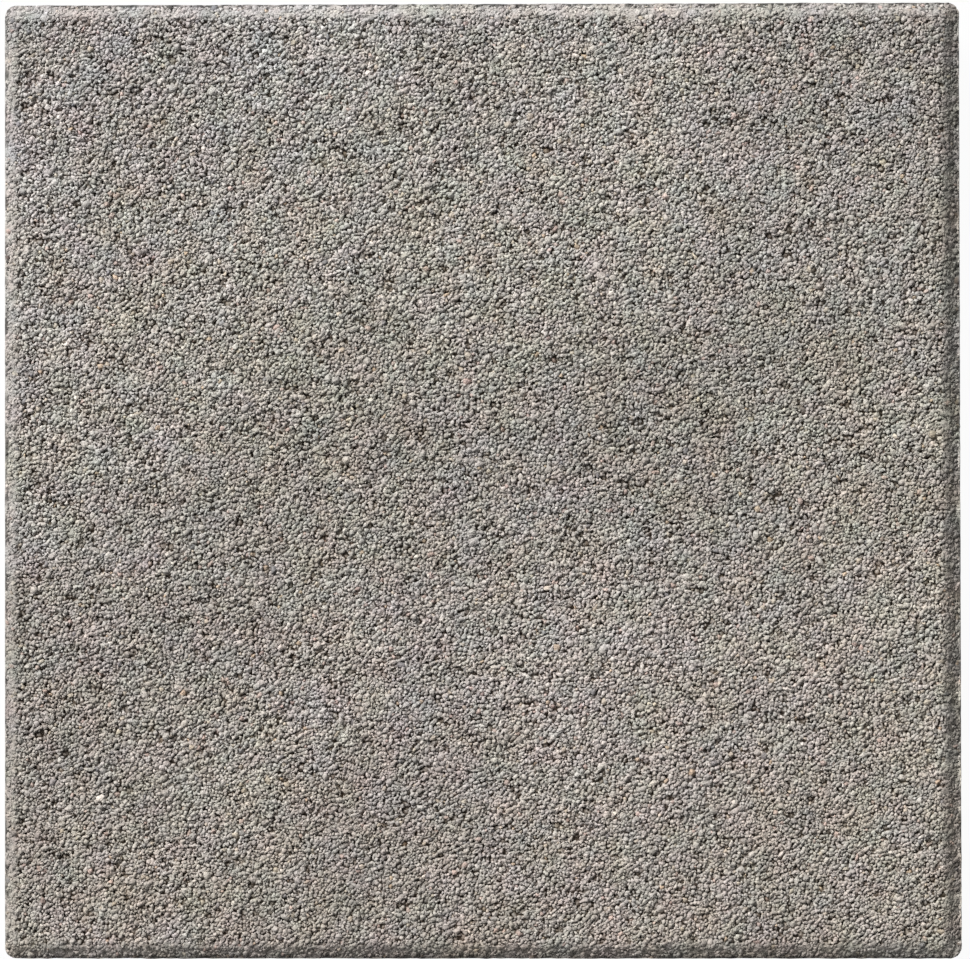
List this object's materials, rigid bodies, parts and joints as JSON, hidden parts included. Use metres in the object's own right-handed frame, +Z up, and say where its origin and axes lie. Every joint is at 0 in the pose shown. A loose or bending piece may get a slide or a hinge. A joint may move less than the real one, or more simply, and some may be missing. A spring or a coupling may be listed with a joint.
{
  "type": "concrete paving slab",
  "caption": "Square pressed concrete paving slab with a pitted walking face, a soft chamfered edge and a narrow level rim round it.",
  "frame": {"origin": "centre of the underside", "axes": "+Z up out of the walking face, +X and +Y along the two sides; +Y is the top of the picture"},
  "size_m": [0.4, 0.4, 0.04],
  "materials": {
    "concrete": "matt, open-textured pressed concrete"
  },
  "bodies": {
    "root": {"paving_slab": "concrete"}
  },
  "joints": []
}
